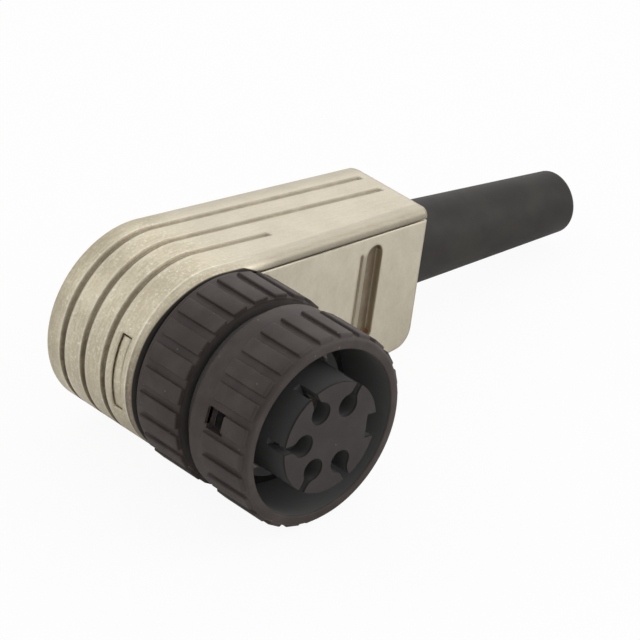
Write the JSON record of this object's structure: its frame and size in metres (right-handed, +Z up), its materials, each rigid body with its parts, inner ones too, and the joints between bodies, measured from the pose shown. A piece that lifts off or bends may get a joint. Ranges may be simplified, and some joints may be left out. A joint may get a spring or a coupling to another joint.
{
  "type": "angled circular cable connector",
  "caption": "Angled circular cable connector: flat die-cast shell with a round grooved head, ribbed lock and bayonet rings, keyed socket insert and tapered bend relief.",
  "frame": {"origin": "centre of the insert's mating face, on the contact axis", "axes": "-Y out of the mating face along the contact axis, +X towards the cable, +Z up, with the connector lying on the lower side of its shell"},
  "size_m": [0.0654, 0.0303, 0.0202],
  "materials": {
    "nickel": "nickel-plated zinc die casting, tumbled, fine scratches",
    "black_plastic": "moulded, satin",
    "insert_plastic": "moulded, satin",
    "sleeve_rubber": "matte, moulded",
    "contact_brass": "turned, plated",
    "steel": "bright spring steel"
  },
  "bodies": {
    "shell": {"shell_body": "nickel", "shell_cover": "nickel", "carrier": "black_plastic", "wave_spring": "steel", "retaining_ring": "steel", "contact_insert": "insert_plastic", "insert_retainer": "insert_plastic", "contact_1": "contact_brass", "contact_2": "contact_brass", "contact_3": "contact_brass", "contact_4": "contact_brass", "contact_5": "contact_brass", "bend_relief": "sleeve_rubber", "clamp_bar": "steel", "clamp_screws": "steel"},
    "lock_ring": {"lock_ring": "black_plastic"},
    "coupling_ring": {"coupling_ring": "black_plastic"}
  },
  "joints": [
    {"name": "coupling_turn", "type": "hinge", "parent": "shell", "child": "coupling_ring", "pos_m": [0, 0.006, 0], "axis": [0, -1, 0], "continuous": true},
    {"name": "lock_turn", "type": "hinge", "parent": "shell", "child": "lock_ring", "pos_m": [0, 0.014, 0], "axis": [0, -1, 0], "range_deg": [0, 90]}
  ]
}
